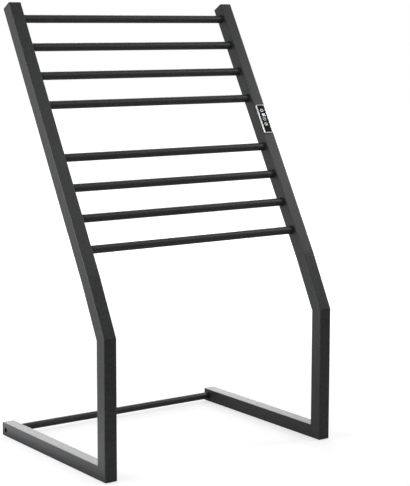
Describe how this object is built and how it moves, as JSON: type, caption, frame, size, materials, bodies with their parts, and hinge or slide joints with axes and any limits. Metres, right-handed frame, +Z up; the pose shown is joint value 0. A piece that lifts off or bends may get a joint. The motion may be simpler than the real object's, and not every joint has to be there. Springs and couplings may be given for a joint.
{
  "type": "towel warmer rack",
  "caption": "Free-standing towel warmer: two bent square-tube side frames, round heated bars in two groups, a rear crossbar and a small touch panel on one post.",
  "frame": {"origin": "on the floor, in the middle of the base's width and depth", "axes": "+X to the right as seen from the front, towards the post with the touch panel; +Y from the upright posts to the open ends of the floor legs, the way the bars lean; +Z up"},
  "size_m": [0.5, 0.373, 0.8213],
  "materials": {
    "powder_coat": "fine-textured satin black powder coat on steel tube",
    "black_plastic": "moulded, lightly textured",
    "black_rubber": "moulded, matt",
    "black_oxide_steel": "black oxide, slightly oiled",
    "zinc_steel": "bright zinc plated",
    "chrome_trim": "polished chrome on ABS",
    "black_glass": "tempered glass, printed black behind",
    "white_print": "screen-printed white ink",
    "lit_figures": "light of the display seen through the glass",
    "circuit_board": "green solder mask",
    "grey_foam": "conductive foam",
    "blue_plastic": "moulded relay case",
    "green_plastic": "moulded terminal block",
    "red_silicone": "silicone insulation",
    "cream_ceramic": "moulded insulating case",
    "brass": "plain turned brass",
    "earth_insulation": "green insulation"
  },
  "bodies": {
    "root": {"bar_1": "powder_coat", "bar_2": "powder_coat", "bar_3": "powder_coat", "bar_4": "powder_coat", "bar_5": "powder_coat", "bar_6": "powder_coat", "bar_7": "powder_coat", "bar_8": "powder_coat", "left_upper_post": "powder_coat", "right_upper_post": "powder_coat", "left_knee_tube": "powder_coat", "right_knee_tube": "powder_coat", "left_lower_post": "powder_coat", "right_lower_post": "powder_coat", "left_leg": "powder_coat", "right_leg": "powder_coat", "crossbar": "powder_coat", "left_coupling": "zinc_steel", "right_coupling": "zinc_steel", "crossbar_inserts": "zinc_steel", "board_screws": "zinc_steel", "coupling_screws": "black_oxide_steel", "crossbar_screws": "black_oxide_steel", "left_top_plug": "black_plastic", "right_top_plug": "black_plastic", "left_leg_plug": "black_plastic", "right_leg_plug": "black_plastic", "panel_housing": "black_plastic", "cord_gland": "black_rubber", "foot_pads": "black_rubber", "panel_bezel": "chrome_trim", "touch_glass": "black_glass", "key_symbols": "white_print", "display_figures": "lit_figures", "control_board": "circuit_board", "power_board": "circuit_board", "touch_pads": "grey_foam", "display_module": "white_print", "relay": "blue_plastic", "terminal_block": "green_plastic", "upper_heating_cable": "red_silicone", "lower_heating_cable": "red_silicone", "thermal_cutoff": "cream_ceramic", "temperature_probe": "brass", "earth_stud": "brass", "earth_lead": "earth_insulation"}
  },
  "joints": []
}
